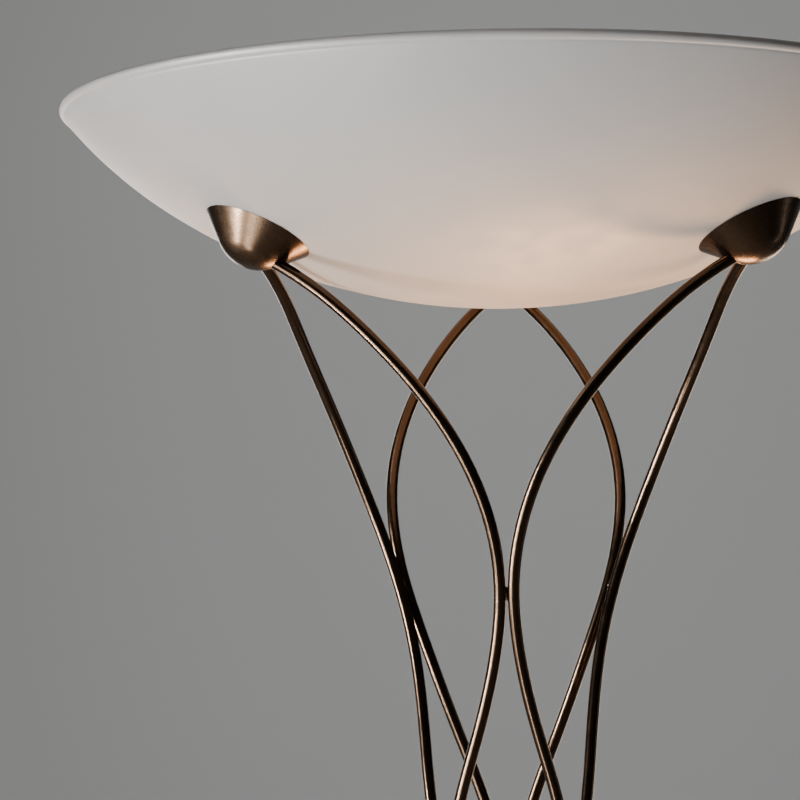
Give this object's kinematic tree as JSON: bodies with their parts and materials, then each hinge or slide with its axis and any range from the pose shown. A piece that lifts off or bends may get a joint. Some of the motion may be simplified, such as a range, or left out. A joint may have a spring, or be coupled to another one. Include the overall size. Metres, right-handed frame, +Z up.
{
  "type": "torchiere floor lamp",
  "caption": "Floor-standing uplighter: a wide shallow opal glass bowl held by domed cups on slim bent bronze rods that weave down to weighted domed feet.",
  "frame": {"origin": "on the floor, on the vertical axis through the centre of the glass bowl", "axes": "+Z up along the bowl's axis; -Y faces the front, midway between the two front cups"},
  "size_m": [0.6, 0.6, 1.77],
  "materials": {
    "opal_glass": "opal white glass, satin outside, fire-polished rim",
    "bronze": "dark bronze patina, satin, fine speckle",
    "cast_iron": "as cast, primed",
    "zinc_steel": "zinc plated",
    "brass": "turned, slightly dull",
    "black_rubber": "matt",
    "felt": "pressed wool felt",
    "phenolic": "moulded phenolic",
    "nylon": "natural moulded nylon",
    "lead_sheath": "brown flexible sheath",
    "bulb_glass": "inside-frosted",
    "clear_glass": "clear",
    "black_glass": "fused insulator",
    "nickel": "nickel-plated brass",
    "tungsten": "drawn wire"
  },
  "bodies": {
    "stand": {"arm_rivets": "brass", "clamp_nipples": "zinc_steel", "clamp_nuts": "brass", "clamp_washers": "zinc_steel", "cord_bushing": "black_rubber", "cup_left": "bronze", "cup_plate_left": "zinc_steel", "cup_plate_rear": "zinc_steel", "cup_plate_right": "zinc_steel", "cup_rear": "bronze", "cup_right": "bronze", "foot_cup_left": "bronze", "foot_cup_rear": "bronze", "foot_cup_right": "bronze", "foot_nuts": "zinc_steel", "foot_pads": "felt", "foot_studs": "zinc_steel", "foot_weight_left": "cast_iron", "foot_weight_rear": "cast_iron", "foot_weight_right": "cast_iron", "glass_bowl": "opal_glass", "holder_cap": "brass", "holder_contact": "brass", "holder_core": "phenolic", "holder_locknut": "brass", "holder_nipple": "zinc_steel", "holder_screw_shell": "brass", "holder_sleeve": "phenolic", "inner_gaskets": "black_rubber", "internal_lead": "lead_sheath", "lead_clips": "nylon", "lower_weld_beads": "bronze", "outer_gaskets": "black_rubber", "rod_left_back": "bronze", "rod_left_front": "bronze", "rod_rear_left": "bronze", "rod_rear_right": "bronze", "rod_right_back": "bronze", "rod_right_front": "bronze", "spider_arm_left": "zinc_steel", "spider_arm_rear": "zinc_steel", "spider_arm_right": "zinc_steel", "spider_hub": "zinc_steel", "terminal_screws": "brass", "upper_weld_beads": "bronze", "waist_weld_beads": "bronze", "wire_connector": "nylon"},
    "switch": {"switch_stem": "brass", "switch_knob": "phenolic"},
    "bulb_foot": {"bulb_contact": "nickel"},
    "bulb": {"bulb_envelope": "bulb_glass", "bulb_cap": "nickel", "bulb_insulator": "black_glass", "bulb_stem": "clear_glass", "bulb_filament": "tungsten"}
  },
  "joints": [
    {"name": "switch_turn", "type": "hinge", "parent": "stand", "child": "switch", "pos_m": [0.02, 0, 1.671], "axis": [1, 0, 0], "continuous": true},
    {"name": "bulb_lift", "type": "slide", "parent": "stand", "child": "bulb_foot", "axis": [0, 0, 1], "range_m": [0, 0.0218]},
    {"name": "bulb_turn", "type": "hinge", "parent": "bulb_foot", "child": "bulb", "pos_m": [0, 0, 1.7], "axis": [0, 0, 1], "range_deg": [0, 2160]}
  ],
  "couplings": [
    {"joint": "bulb_lift", "follows": "bulb_turn", "m_per_rad": 0.00057757}
  ]
}
